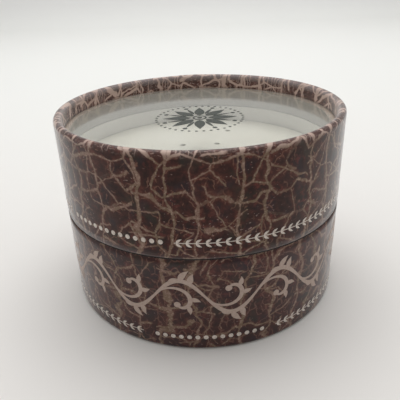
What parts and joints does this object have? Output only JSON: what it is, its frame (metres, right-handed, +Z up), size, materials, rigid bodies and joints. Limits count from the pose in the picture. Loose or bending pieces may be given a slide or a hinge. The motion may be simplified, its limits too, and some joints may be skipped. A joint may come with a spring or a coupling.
{
  "type": "round powder box",
  "caption": "Round paperboard powder box with a windowed lift-off lid, a neck and a sifter.",
  "frame": {"origin": "on the axis at the level of the foot", "axes": "+Z up along the axis of the tube, towards the windowed lid"},
  "size_m": [0.09, 0.09, 0.0601],
  "materials": {
    "lid_print": "laminated crackle print",
    "base_print": "laminated crackle print",
    "board": "wound grey board",
    "lined_board": "white-lined board",
    "cover_paper": "matt white paper",
    "clear_window": "clear sheet",
    "sifter_plastic": "cream moulded plastic"
  },
  "bodies": {
    "base": {"base_tube": "board", "base_wrap": "base_print", "bottom_disc": "board", "floor_disc": "lined_board", "neck_tube": "lined_board", "neck_cover": "cover_paper", "sifter": "sifter_plastic"},
    "lid": {"lid_tube": "board", "lid_wrap": "lid_print", "lid_window": "clear_window", "lid_liner": "lined_board"}
  },
  "joints": [
    {"name": "lid_lift", "type": "slide", "parent": "base", "child": "lid", "axis": [0, 0, 1], "range_m": [0, 0.035]}
  ]
}
